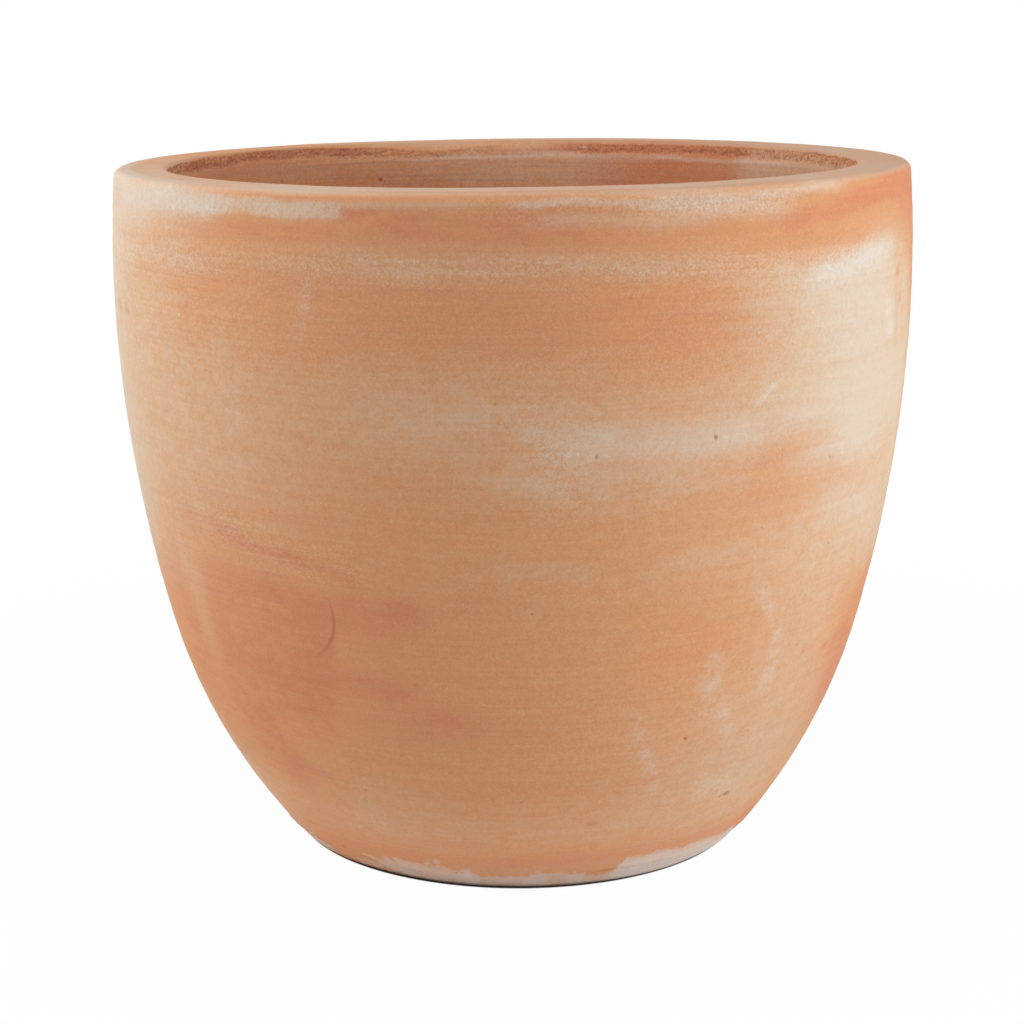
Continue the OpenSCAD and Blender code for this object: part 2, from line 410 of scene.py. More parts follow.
    Stain("lime", (92, 3), (160, 4), 8, 8, 0.9, 5),
    Stain("lime", (176, 4), (270, 3), 8, 8, 0.9, 5),
)

# Stains on the inside of the wall and rim
INSIDE_STAINS = (
    # Streaks that show through the mouth, on the far side
    Stain("haze", (-160, 327), (-118, 326), 26, 7, 0.22),
    Stain("haze", (-174, 326), (168, 326), 22, 10, 0.4),
    Stain("bloom", (-168, 334.5), (166, 334.5), 20, 1.4, 0.4),
    Stain("fire", (164, 325), (137, 325), 14, 12, 0.72, 3),
    Stain("fire", (168, 339), (134, 338.5), 10, 4, 0.95, 3),
    Stain("bloom", (150, 333), (118, 333.5), 20, 1.0, 0.4),
    Stain("haze", (130, 327), (106, 327), 14, 9, 0.52, 2.5),
    Stain("fire", (-104, 339), (-146, 338.5), 14, 4, 0.5, 3),
    Stain("chalk", (166.7, 339.4), (165.9, 339.4), 0.7, 0.7, 0.7, 4),
    # Deeper down
    Stain("bloom", (-60, 250), (30, 240), 70, 24, 0.35),
    Stain("bloom", (150, 200), (220, 180), 70, 22, 0.4),
    Stain("fire", (60, 200), (130, 150), 60, 30, 0.5),
    Stain("fire", (-150, 260), (-90, 240), 60, 26, 0.5),
    Stain("lime", (0, 30), (120, 34), 60, 12, 0.5),
    Stain("lime", (-160, 30), (-60, 34), 60, 12, 0.5),
)

# Pits in the wall: azimuth in degrees, then height, half breadth, half height and depth in millimetres
Pit = namedtuple("Pit", "azimuth height half_run half_rise depth")

PITS = (
    Pit(42.7, 46.2, 1.7, 0.9, 3.4),
    Pit(41.2, 45.4, 1.1, 0.7, 2.0),
    Pit(26.5, 234.0, 0.7, 0.9, 1.4),
    Pit(27.7, 87.0, 1.0, 0.8, 1.3),
    Pit(10.3, 229.0, 0.6, 0.6, 0.9),
    Pit(48.5, 28.0, 1.8, 0.8, 0.5),
    Pit(-57.5, 123.0, 1.4, 1.0, 0.4),
    Pit(128.0, 206.0, 2.2, 1.4, 0.8),
    Pit(201.0, 64.0, 2.4, 1.4, 0.8),
    Pit(246.0, 246.0, 1.8, 1.2, 0.7),
)

# Pits on the inside of the rim
RIM_PITS = (
    Pit(-154.0, 322.0, 1.2, 1.1, 1.8),
    Pit(-132.0, 325.0, 0.8, 0.6, 0.8),
    Pit(58.0, 318.0, 1.0, 0.9, 1.2),
)

# Firmness of a pit's edge, as for a stain, and how many of its half sizes a pit reaches
PIT_EDGE = 3
PIT_REACH = 3

# The thumb's crescent: middle of its circle in degrees and millimetres, and the circle's radius
THUMB_AZIMUTH = -34.0
THUMB_HEIGHT = 151.5
THUMB_RADIUS = 25.3

# Where on that circle the crescent lies: bearing of its middle, and half its spread, in degrees
THUMB_BEARING = -24
THUMB_SPREAD = 30

# Clay heaped up inside the crescent and dug out beside it: share of its depth, and reach
HEAP_SHARE = 0.7
HEAP_REACH = 4 * MM
DIP_SHARE = 0.8
DIP_REACH = 1.8 * MM
THUMB_STEP = (-0.4 * MM, 0.4 * MM)

# What changes round the pot: a base, soft humps on it and waves of noise. A hump has its height, its
# middle and its half width in degrees. A wave has its height, its noise's scale and a shift of that noise.
Around = namedtuple("Around", "base humps waves", defaults=((), ()))
Hump = namedtuple("Hump", "height middle half_width")
Wave = namedtuple("Wave", "height scale shift")

# Waviness of the rim's top, in parts of the rim wave
RIM_TOP = Around(0, waves=(Wave(1.0, 2.5, 1.5), Wave(0.5, 6.0, 8.5)))
# How far the rim's inner edge sags
LIP_SAG = Around(0, (Hump(-1.4 * MM, -165, 6),))
# Upper edge of the torn band, from the rim's top
TEAR_UPPER = Around(
    -2.2 * MM, (Hump(-1.9 * MM, -165, 7), Hump(1.2 * MM, -122, 16)), (Wave(0.7 * MM, 9.0, 0.5),)
)
# Lower edge of the torn band, from its upper edge
TEAR_LOWER = Around(-5 * MM, waves=(Wave(1.2 * MM, 7.0, 4.5),))
# How torn the band is: it is smoothed over at four places
TEAR_SHARE = Around(
    1.0, (Hump(-0.66, -164, 11), Hump(-0.85, 176, 8), Hump(-0.35, 150, 16), Hump(-0.25, 120, 12))
)
# How far the slab's edge is smeared out to the wall's lower edge: 1 is flush, 0 leaves the wall overhanging
FLUSH_EDGE = Around(1.0, (Hump(-1.0, 62, 16), Hump(-0.7, 150, 20), Hump(-0.8, -120, 16)))
# How far the wall's lower edge hangs down, in parts of the droop
HANGING_EDGE = Around(0.35, waves=(Wave(0.9, 5.0, 2.5),))
# How far the foot bulges
FULLER_FOOT = Around(0, (Hump(2.0 * MM, 80, 18), Hump(2.5 * MM, -66, 24)))
# How far the dust on the rim's top reaches down its edges, and how thick it lies
DUST_REACH = Around(1.3 * MM, (Hump(3.4 * MM, 31, 13),))
DUST_COVER = Around(0.34, (Hump(0.17, -31, 12), Hump(-0.4, -125, 24), Hump(-0.22, 165, 32)))
# How strongly a painted highlight brightens the rim's outer edge round the pot, most at the front
EDGE_HIGHLIGHT = Around(0.2, (Hump(0.8, -5, 22),))

# Soft steps, each from its start to its end
# Radii between which the clay gets free to move, and heights between which the turning ridges begin
FREE_STEP = (30 * MM, 90 * MM)
RIDGE_STEP = (6 * MM, 20 * MM)
# Share of the pot's height from which the rim's top waves
WAVE_STEP = (0.93, 1.0)
# The torn band's edges, and the dust's lower edge
TEAR_UPPER_STEP = (-0.8 * MM, 0.6 * MM)
TEAR_LOWER_STEP = (-1.6 * MM, 1.6 * MM)
DUST_STEP = (-1.6 * MM, 1.0 * MM)
# The sagging lip: inwards from the rim's inner radius, and up to the rim's top
SAG_IN_STEP = (-12 * MM, -2 * MM)
SAG_UP_STEP = (-12 * MM, -3 * MM)
# The painted highlight on the rim's outer edge: its beginning and its end, from the rim's top
HIGHLIGHT_START_STEP = (-6 * MM, -3.5 * MM)
HIGHLIGHT_END_STEP = (-1 * MM, 0)
# The wall's hanging edge: outwards to the skirt, and up from the foot
HANG_OUT_STEP = (-5 * MM, -2 * MM)
HANG_UP_STEP = (1 * MM, 12 * MM)
# The slab's edge and its lower corner, outwards to the foot's radius
FOOT_EDGE_STEP = (-4 * MM, 0)
FOOT_CORNER_STEP = (-12 * MM, -2 * MM)
# Depths under the outer surface at which the outside ends and the inside begins, and the floor's edge
OUTSIDE_STEP = (6 * MM, 10 * MM)
INSIDE_STEP = (16 * MM, 20 * MM)
FLOOR_STEP = (10 * MM, 20 * MM)

# Scales of the noises that move the clay, in waves a metre, and of the one that turns slowly round the pot
FRAY_SCALE = 450
CRUMB_SCALE = 1100
LUMP_SCALE = 90
GRAIN_SCALE = 400
SWIRL_SCALE = 1.7
SWIRL_RISE = 3

# Crumbs of the torn band: the level that stays in place, and how rough they are
CRUMB_LEVEL = 0.45
CRUMB_ROUGHNESS = 0.35

# Share of the wall's lean by which the hanging edge is drawn in, and share of a bulge that the upper
# edge of the slab is spared
HANG_LEAN = 0.85
BULGE_SPARED = 0.6

# How the stains' outlines waver: scale of the noise, and its reach along and up the wall in millimetres
Waver = namedtuple("Waver", "scale run rise")
WAVERS = (Waver(22, 7, 3), Waver(75, 2.5, 1.2))
# Start of that noise, fixed so that each run gives the same outlines
WAVER_SEED = 1

LAYERS = ("haze", "bloom", "fire", "chalk", "lime", "rust", "grit", "inside", "top", "torn", "rub")


# Turned form

# A piece is spun as one sector first, and then as copies of it, whose seams are merged
SECTORS = 20
MERGE_DISTANCE = 0.01 * MM
# Cuts of each edge where the mesh is made finer for a small mark
FINE_CUTS = 4
# Faces that meet at a sharper angle than this keep a hard edge
SHARP_ANGLE = math.radians(50)


class Profile:
    """The pot's outside as two arcs in a row, as radius and height, worked out from the sizes."""

    def __init__(self, sizes):
        belly = Vector((sizes.belly_radius, sizes.height - sizes.belly_drop))
        skirt = Vector((sizes.skirt_radius, sizes.foot_height))
        span = belly - skirt
        self.lean = math.atan2(span.x, span.y)
        cos_lean = math.cos(self.lean)
        sin_lean = math.sin(self.lean)
        cos_flare = math.cos(sizes.flare)
        sin_flare = math.sin(sizes.flare)
        upper_run = Vector((1 - cos_lean, sin_lean))
        lower_run = Vector((cos_lean - cos_flare, sin_flare - sin_lean))
        run_cross = upper_run.cross(lower_run)
        self.upper_radius = span.cross(lower_run) / run_cross
        self.lower_radius = upper_run.cross(span) / run_cross
        self.upper_centre = belly - Vector((self.upper_radius, 0))
        self.lower_centre = skirt + self.lower_radius * Vector((-cos_flare, sin_flare))
        self.bend_height = self.upper_centre.y - self.upper_radius * sin_lean

    def radii_at(self, heights, depth=0.0):
        """Radii of the pot at an array of heights, at a depth under its outer surface."""
        upper = (self.upper_radius - depth) ** 2 - (heights - self.upper_centre.y) ** 2
        lower = (self.lower_radius - depth) ** 2 - (heights - self.lower_centre.y) ** 2
        above = self.upper_centre.x + np.sqrt(np.maximum(upper, 0))
        below = self.lower_centre.x + np.sqrt(np.maximum(lower, 0))
        return np.where(heights >= self.bend_height, above, below)

    def radius_at(self, height, depth=0.0):
        """Radius of the pot at one height, at a depth under its outer surface."""
        return float(self.radii_at(height, depth))

    def upper_angle(self, height, depth=0.0):
        """How far up the upper arc a height lies, as an angle from the belly."""
        return math.asin((height - self.upper_centre.y) / (self.upper_radius - depth))

    def lower_angle(self, height, depth=0.0):
        """How far down the lower arc a height lies, as an angle from the level of its centre."""
        return math.asin((self.lower_centre.y - height) / (self.lower_radius - depth))


class Section:
    """Half of a piece's cross-section, drawn in the XZ plane and then turned about the pot's axis."""

    def __init__(self, radius, height):
        self.mesh = bmesh.new()
        self.first = self.mesh.verts.new((radius, 0, height))
        self.last = self.first

    def grow(self):
        """Pull a new vertex out of the last one."""
        grown = bmesh.ops.extrude_vert_indiv(self.mesh, verts=[self.last])
        self.last = grown["verts"][0]

    def line(self, radius, height, steps):
        """Draw a straight stretch to a radius and height."""
        stride = (Vector((radius, 0, height)) - self.last.co) / steps
        for _ in range(steps):
            self.grow()
            bmesh.ops.translate(self.mesh, verts=[self.last], vec=stride)

    def arc(self, centre, turn, steps):
        """Draw an arc about a centre, anticlockwise when its turn is positive."""
        pivot = Vector((centre.x, 0, centre.y))
        step = Matrix.Rotation(-turn / steps, 3, "Y")
        for _ in range(steps):
            self.grow()
            bmesh.ops.rotate(self.mesh, verts=[self.last], cent=pivot, matrix=step)

    def close(self, steps):
        """Draw a straight stretch of two or more steps back to the first vertex."""
        stride = (self.first.co - self.last.co) / steps
        target = self.last.co + stride * (steps - 1)
        self.line(target.x, target.z, steps - 1)
        self.mesh.edges.new((self.last, self.first))

    def turn(self, steps):
        """Spin the outline into a solid of revolution: one sector first, then its copies."""
        sector = math.tau / SECTORS
        about = {"cent": (0, 0, 0), "axis": (0, 0, 1)}
        outline = self.mesh.verts[:] + self.mesh.edges[:]
        bmesh.ops.spin(self.mesh, geom=outline, angle=sector, steps=steps // SECTORS, **about)
        whole = self.mesh.verts[:] + self.mesh.edges[:] + self.mesh.faces[:]
        rest = math.tau - sector
        bmesh.ops.spin(self.mesh, geom=whole, angle=rest, steps=SECTORS - 1, use_duplicate=True, **about)
        bmesh.ops.remove_doubles(self.mesh, verts=self.mesh.verts[:], dist=MERGE_DISTANCE)
        bmesh.ops.recalc_face_normals(self.mesh, faces=self.mesh.faces[:])
        return self.mesh


def soft_step(value, start, end):
    """Smooth step of an array from 0 at start to 1 at end."""
    share = np.clip((value - start) / (end - start), 0, 1)
    return share * share * (3 - 2 * share)


def between(azimuth, middle):
    """Azimuth measured from a middle one, in degrees from -180 to 180."""
    return (azimuth - middle + 180) % 360 - 180


def noise_at(points):
    """Smooth noise from -1 to 1 at each of an array of points."""
    return np.array([noise.noise(point) for point in points.tolist()])


class Skin:
    """A turned piece's vertices as arrays: place, azimuth in degrees, radius, height and outward way."""

    def __init__(self, shape):
        self.places = np.array([vertex.co[:] for vertex in shape.verts])
        self.radius = np.hypot(self.places[:, 0], self.places[:, 1])
        self.azimuth = np.degrees(np.arctan2(self.places[:, 0], -self.places[:, 1]))
        self.height = self.places[:, 2].copy()
        self.outwards = self.places * np.array((1, 1, 0)) / self.radius[:, None]

    def noise(self, scale):
        """Smooth noise from -1 to 1 at each vertex."""
        return noise_at(self.places * scale)

    def swirl(self, climb):
        """Smooth noise that changes slowly round the pot, and with a number that climbs."""
        return noise_at(self.outwards * SWIRL_SCALE + np.outer(climb, (0, 0, 1)))

    def around(self, course):
        """What changes round the pot, at each vertex: a base with its humps and waves."""
        total = np.full(len(self.radius), float(course.base))
        for hump in course.humps:
            total += hump.height * 0.5 ** ((between(self.azimuth, hump.middle) / hump.half_width) ** 2)
        for wave in course.waves:
            total += wave.height * noise_at(self.outwards * wave.scale + np.array((0, 0, wave.shift)))
        return total

    def share_around(self, course):
        """The same, held between 0 and 1."""
        return np.clip(self.around(course), 0, 1)


# Marks of the hand


def moved_by_hand(skin, push, lift, sizes, marks):
    """Places of the hand-made pot's vertices: the turned ones after a push outwards and a lift."""
    rise = skin.height / sizes.height
    free = soft_step(skin.radius, *FREE_STEP)
    swell = marks.wobble * skin.swirl(rise * SWIRL_RISE)
    ridge = marks.ridge_depth * skin.swirl(skin.height / marks.ridge_pitch)
    ridge = ridge * soft_step(skin.height, *RIDGE_STEP)
    aside = marks.lean * np.exp(-skin.height / marks.lean_reach) + marks.bow * np.sin(math.pi * rise)
    slope = math.tan(marks.tilt) * skin.places[:, 0] * rise**2
    wave = marks.rim_wave * skin.around(RIM_TOP) * soft_step(rise, *WAVE_STEP)
    moved = skin.places + skin.outwards * ((swell + ridge) * free + push)[:, None]
    moved[:, 0] += aside * free
    moved[:, 2] += lift + slope + wave
    return moved


def tear(skin, sizes, marks):
    """The torn band on the rim's inner edge: how torn each vertex is, and its push into the rim."""
    inner = skin.radius < sizes.belly_radius - sizes.rim_breadth / 2
    upper = sizes.height + skin.around(TEAR_UPPER)
    lower = upper + skin.around(TEAR_LOWER)
    frayed_height = skin.height + marks.tear_fray * skin.noise(FRAY_SCALE)
    under = 1 - soft_step(frayed_height - upper, *TEAR_UPPER_STEP)
    over = soft_step(frayed_height - lower, *TEAR_LOWER_STEP)
    torn = under * over * inner * skin.share_around(TEAR_SHARE)
    crumbs = np.zeros(len(torn))
    for index in np.flatnonzero(torn):
        crumbs[index] = noise.voronoi(skin.places[index] / marks.crumb_size)[0][0]
    crumbs += CRUMB_ROUGHNESS * skin.noise(CRUMB_SCALE) - CRUMB_LEVEL
    push = torn * (marks.tear_depth + marks.crumb_depth * crumbs)
    return torn, push


def lip_sag(skin, sizes, inner_radius):
    """How far the rim's inner edge sags."""
    inwards = soft_step(inner_radius - skin.radius, *SAG_IN_STEP)
    upwards = soft_step(skin.height - sizes.height, *SAG_UP_STEP)
    return skin.around(LIP_SAG) * inwards * upwards


def lower_edge(skin, sizes, marks):
    """How the wall's lower edge hangs down over the slab: a push inwards and a drop."""
    outer = soft_step(skin.radius - sizes.skirt_radius, *HANG_OUT_STEP)
    near = outer * (1 - soft_step(skin.height - sizes.foot_height, *HANG_UP_STEP))
    hang = marks.droop * skin.share_around(HANGING_EDGE)
    drop = hang * near * skin.share_around(FLUSH_EDGE)
    return -HANG_LEAN * math.tan(sizes.flare) * drop, -drop


def worn_foot(skin, sizes, marks, foot_radius):
    """Push of the slab's edge outwards: smeared out to the wall, lumpy, and fuller at two places."""
    up = np.clip(skin.height / sizes.foot_height, 0, 1)
    edge = up * soft_step(skin.radius - foot_radius, *FOOT_EDGE_STEP)
    corner = soft_step(skin.radius - foot_radius, *FOOT_CORNER_STEP)
    lumps = marks.foot_lumps * skin.noise(LUMP_SCALE) + marks.foot_grains * skin.noise(GRAIN_SCALE)
    overhang = sizes.skirt_radius - sizes.slab_radius - marks.smear_gap
    smear = overhang * skin.share_around(FLUSH_EDGE)
    bulge = corner * skin.around(FULLER_FOOT) * (1 - BULGE_SPARED * edge)
    return edge * (smear + lumps) + bulge


def refine(shape, spot, reach, longest):
    """Cut the edges round a spot smaller, where they are longer than a given length."""
    close = {vertex for vertex in shape.verts if (vertex.co - spot).length < reach}
    edges = [edge for edge in shape.edges if close.issuperset(edge.verts) and edge.calc_length() > longest]
    bmesh.ops.subdivide_edges(shape, edges=edges, cuts=FINE_CUTS, use_grid_fill=True)


def point_at(radius, azimuth, height):
    """The point at a radius, an azimuth in degrees and a height."""
    turn = math.radians(azimuth)
    return Vector((radius * math.sin(turn), -radius * math.cos(turn), height))


def wall_spot(profile, azimuth, height):
    """The point on the wall's outside at an azimuth and height."""
    return point_at(profile.radius_at(height), azimuth, height)


def press_pits(skin, pits, side):
    """Push of small pits towards the pot's axis, on one side of the clay."""
    push = np.zeros(len(skin.radius))
    for pit in pits:
        run = np.radians(between(skin.azimuth, pit.azimuth)) * skin.radius / (pit.half_run * MM)
        rise = (skin.height - pit.height * MM) / (pit.half_rise * MM)
        push -= side * pit.depth * MM * 0.5 ** (np.hypot(run, rise) ** PIT_EDGE)
    return push


def press_thumb(skin, marks, outside):
    """Push of the thumb's crescent: clay heaped up inside a curve, with a step down at its lower right."""
    run = np.radians(between(skin.azimuth, THUMB_AZIMUTH)) * skin.radius
    rise = skin.height - THUMB_HEIGHT * MM
    away = np.hypot(run, rise) - THUMB_RADIUS * MM
    bearing = np.degrees(np.arctan2(rise, run))
    grip = 0.5 ** (((bearing - THUMB_BEARING) / THUMB_SPREAD) ** 4)
    beyond = soft_step(away, *THUMB_STEP)
    heap = HEAP_SHARE * np.exp(np.minimum(away, 0) / HEAP_REACH) * (1 - beyond)
    dip = DIP_SHARE * np.exp(-np.maximum(away, 0) / DIP_REACH) * beyond
    return outside * grip * marks.thumb_depth * (heap - dip)


# Materials

# Noises of the clay: scale along each axis in waves a metre, detail and roughness
CLAY_NOISES = {
    "brush": ((13, 13, 240), 4.0, 0.6),
    "lines": ((16, 16, 640), 3.0, 0.6),
    "mottle": ((7, 7, 15), 5.0, 0.6),
    "patch": ((24, 24, 40), 4.0, 0.6),
    "grit": ((420, 420, 420), 3.0, 0.6),
    "grain": ((1100, 1100, 1100), 2.0, 0.5),
    "fleck": ((120, 120, 170), 3.0, 0.6),
    "pick": ((60, 60, 60), 1.0, 0.5),
}

# Blends of those noises, each with its weight. These break up the stains:
BRUSHED = {"brush": 2.6, "patch": 1.6, "grit": 2.2}
FLAKY = {"patch": 0.9, "fleck": 3.0, "grit": 2.4, "brush": 0.8}
GRITTY = {"grit": 1.8, "fleck": 1.2, "grain": 4.2}
MISTY = {"fleck": 0.18, "lines": 0.16, "grain": 0.3}
BURNT = {"patch": 0.6, "fleck": 0.6}
SCORCHED = {"fleck": 3.4, "grit": 2.4}
CRUSTED = {"fleck": 0.7, "grit": 0.3}
DUSTY = {"brush": 1.6, "patch": 1.2}
# These colour the clay, and the last one raises its surface:
MOTTLED = {"mottle": 1.6, "brush": 0.8}
STREAKED = {"brush": 3.2, "lines": 3.4}
SHADED = {"brush": 0.5, "lines": 0.6}
SPECKLED = {"grain": 0.22, "grit": 0.13, "lines": 0.10, "brush": 0.06}
RAISED = {"grain": 0.32, "lines": 0.22, "brush": 0.2}

# How far a blend frays the edges of each kind of stain
FRAY = {"haze": 0.14, "bloom": 0.26, "fire": 0.5, "chalk": 0.34, "lime": 0.5, "rust": 0.4}
# Share of the clay that a full stain covers, and the mask at which lime begins and is in full
FULL_COVER = 0.95
LIME_STEP = (0.2, 0.42)
# Dark middle of a red flash: strength at which it begins, and how fast it grows
EMBER_START = 0.62
EMBER_GAIN = 1.1

# Torn clay, with painted shade: cells a metre, breadth of the gaps between crumbs, the grit that opens them
# and how far painted shade darkens them
TORN_CELLS = 400.0
CRACK_STEP = (0.0, 0.16)
GAP_STEP = (0.62, 0.40)
GAP_COVER = 0.75
# Dark specks: cells a metre, their edge, the noise that picks a few of them and how dark they are
SPECK_CELLS = 110.0
SPECK_STEP = (0.03, 0.085)
PICK_STEP = (0.58, 0.66)
SPECK_COVER = 0.45

# Painted light: clay made brighter low on the pot, standing in for light bounced up from the floor, with
# the heights between which it ends, and a painted highlight on the rim's outer edge
BOUNCE_STEP = (12 * MM, 70 * MM)
BOUNCE_GAIN = 0.15
HIGHLIGHT_GAIN = 0.16
# Bumps of the bare clay, and its shine
BUMP_STRENGTH = 0.7
BUMP_HEIGHT = 0.35 * MM
SHINE = 0.3

# Sockets of a Mix node that mixes colours
MIX_SHARE = 0
MIX_FIRST = 6
MIX_SECOND = 7
MIX_RESULT = 2

WHITE = (1, 1, 1, 1)
# Rays that see plain white: the camera's, and those seen in gloss or through glass
WHITE_RAYS = ("Is Camera Ray", "Is Glossy Ray", "Is Transmission Ray")


class Field:
    """One socket of a material's nodes. Sums, differences and products of fields add Math nodes."""

    def __init__(self, tree, socket=None):
        self.tree = tree
        self.socket = socket

    def node(self, kind, settings, sockets, output=0):
        """Add a node of a type, set it up, fill or link its sockets and wrap one of its outputs."""
        made = self.tree.nodes.new(kind)
        for name, value in settings.items():
            setattr(made, name, value)
        for name, value in sockets.items():
            if isinstance(value, Field):
                self.tree.links.new(value.socket, made.inputs[name])
            else:
                made.inputs[name].default_value = value
        return Field(self.tree, made.outputs[output] if made.outputs else None)

    def math(self, operation, first, second):
        """A Math node on two values."""
        return self.node("ShaderNodeMath", {"operation": operation}, {0: first, 1: second})

    def __add__(self, other):
        return self.math("ADD", self, other)

    def __radd__(self, other):
        return self.math("ADD", other, self)

    def __sub__(self, other):
        return self.math("SUBTRACT", self, other)

    def __rsub__(self, other):
        return self.math("SUBTRACT", other, self)

    def __mul__(self, other):
        return self.math("MULTIPLY", self, other)

    def __rmul__(self, other):
        return self.math("MULTIPLY", other, self)

    def clamped(self):
        """The value held between 0 and 1."""
        return self.node("ShaderNodeClamp", {}, {"Value": self})

    def ramp(self, start, end):
        """A smooth step of the value from 0 at start to 1 at end."""
        return self.node(
            "ShaderNodeMapRange",
            {"interpolation_type": "SMOOTHSTEP"},
            {"Value": self, "From Min": start, "From Max": end},
        )

    def frayed(self, fray, reach):
        """A painted mask whose edge, where it is about a half, is frayed by a blend of noises."""
        edge = self * (1 - self) * 4.0
        return (self + edge * fray * reach).clamped()

    def grain(self, scale, detail, roughness):
        """Noise on the field's coordinates, stretched by a scale along each axis."""
        stretched = self.node("ShaderNodeVectorMath", {"operation": "MULTIPLY"}, {0: self, 1: scale})
        return self.node(
            "ShaderNodeTexNoise",
            {"noise_dimensions": "3D"},
            {"Vector": stretched, "Scale": 1.0, "Detail": detail, "Roughness": roughness},
        )

    def cells(self, feature, scale):
        """Distance in a pattern of cells on the field's coordinates."""
        sockets = {"Vector": self, "Scale": scale}
        return self.node("ShaderNodeTexVoronoi", {"feature": feature}, sockets, "Distance")

    def mixed(self, first, second):
        """A colour between two others, with the field as the share of the second."""
        sockets = {MIX_SHARE: self, MIX_FIRST: socket_colour(first), MIX_SECOND: socket_colour(second)}
        return self.node("ShaderNodeMix", {"data_type": "RGBA"}, sockets, MIX_RESULT)

    def scaled(self, factor):
        """A colour made brighter or darker."""
        return self.node("ShaderNodeVectorMath", {"operation": "SCALE"}, {0: self, "Scale": factor})


def socket_colour(value):
    """A colour as a socket takes it: a field as it is, and a property with a fourth number."""
    if isinstance(value, Field):
        return value
    return (*value, 1.0)


def empty_nodes(owner):
    """Clear the nodes of a material or world, and give a field to start new ones from."""
    owner.use_nodes = True
    owner.node_tree.nodes.clear()
    return Field(owner.node_tree)


def blend(noises, weights):
    """The sum of several noises' swings about their middle, each times its weight."""
    return sum((noises[name] - 0.5) * weight for name, weight in weights.items())


def stain_shares(layer, noises, coarse):
    """How far each kind of stain covers the clay: its painted layer, broken up by the noises."""
    frays = dict.fromkeys(FRAY, blend(noises, FLAKY))
    frays["bloom"] = blend(noises, BRUSHED)
    shares = {key: layer[key].frayed(frays[key], reach) for key, reach in FRAY.items()}
    gritty = 1 + layer["grit"] * blend(noises, GRITTY)
    burnt = 1 + blend(noises, BURNT) + layer["grit"] * blend(noises, SCORCHED)
    crust = layer["lime"] + blend(noises, CRUSTED)
    shares["haze"] = (shares["haze"] + blend(noises, MISTY) * coarse).clamped()
    shares["bloom"] = (shares["bloom"] * gritty).clamped()
    shares["fire"] = (shares["fire"] * burnt).clamped()
    shares["lime"] = (shares["lime"].ramp(*LIME_STEP) * crust).clamped()
    shares["dust"] = (layer["top"] * (1 + blend(noises, DUSTY))).clamped()
    return shares


def bare_clay(layer, noises, colours):
    """The clay before its stains: mottled outside, and streaked inside."""
    mottled = (blend(noises, MOTTLED) + 0.5).clamped().mixed(colours.tan, colours.orange)
    streaked = (blend(noises, STREAKED) + 0.5).clamped().mixed(colours.brown, colours.orange)
    return layer["inside"].mixed(mottled, streaked.scaled(1 + blend(noises, SHADED)))


def stained_clay(clay, shares, noises, colours):
    """The clay under its stains, from the red of the kiln up to stray rust."""
    embers = (shares["fire"] - EMBER_START) * EMBER_GAIN * (noises["patch"] + 0.3)
    coats = (
        (shares["fire"] * FULL_COVER, colours.fire),
        (embers.clamped(), colours.ember),
        (shares["haze"] * FULL_COVER, colours.haze),
        (shares["bloom"] * FULL_COVER, colours.bloom),
        (shares["dust"], colours.bloom),
        (shares["chalk"], colours.chalk),
        (shares["lime"], colours.lime),
        (shares["rust"], colours.ember),
    )
    for share, coat in coats:
        clay = share.mixed(clay, coat)
    return clay


def torn_clay(clay, place, torn, fire, grit, colours):
    """The clay where it is torn: redder where the kiln flashed it, with painted shade on its crumbs and in
    the gaps between them.
    """
    crack = place.cells("DISTANCE_TO_EDGE", TORN_CELLS)
    gap = (1 - crack.ramp(*CRACK_STEP)) * grit.ramp(*GAP_STEP)
    clay = (torn * fire * 0.7).mixed(clay, colours.ember)
    # Painted shade on the crumbs, darker where the grit is low and where the clay is red
    clay = torn.mixed(clay, clay.scaled(0.7 + grit * 0.5 - fire * 0.16))
    return (torn * gap * GAP_COVER).mixed(clay, colours.gap_shade)


def specked_clay(clay, place, pick, colours):
    """The clay with a few dark specks."""
    specks = (1 - place.cells("F1", SPECK_CELLS).ramp(*SPECK_STEP)) * pick.ramp(*PICK_STEP)
    return (specks * SPECK_COVER).mixed(clay, colours.speck)


def clay_relief(layer, noises):
    """The surface's normal with its grain, turning lines, brush marks and grit."""
    coarse = 0.5 + layer["grit"] * 1.2 + layer["torn"] * 2.8
    relief = blend(noises, RAISED) + (noises["grit"] - 0.5) * coarse
    sockets = {"Strength": BUMP_STRENGTH, "Distance": BUMP_HEIGHT, "Height": relief}
    return relief.node("ShaderNodeBump", {}, sockets, "Normal")


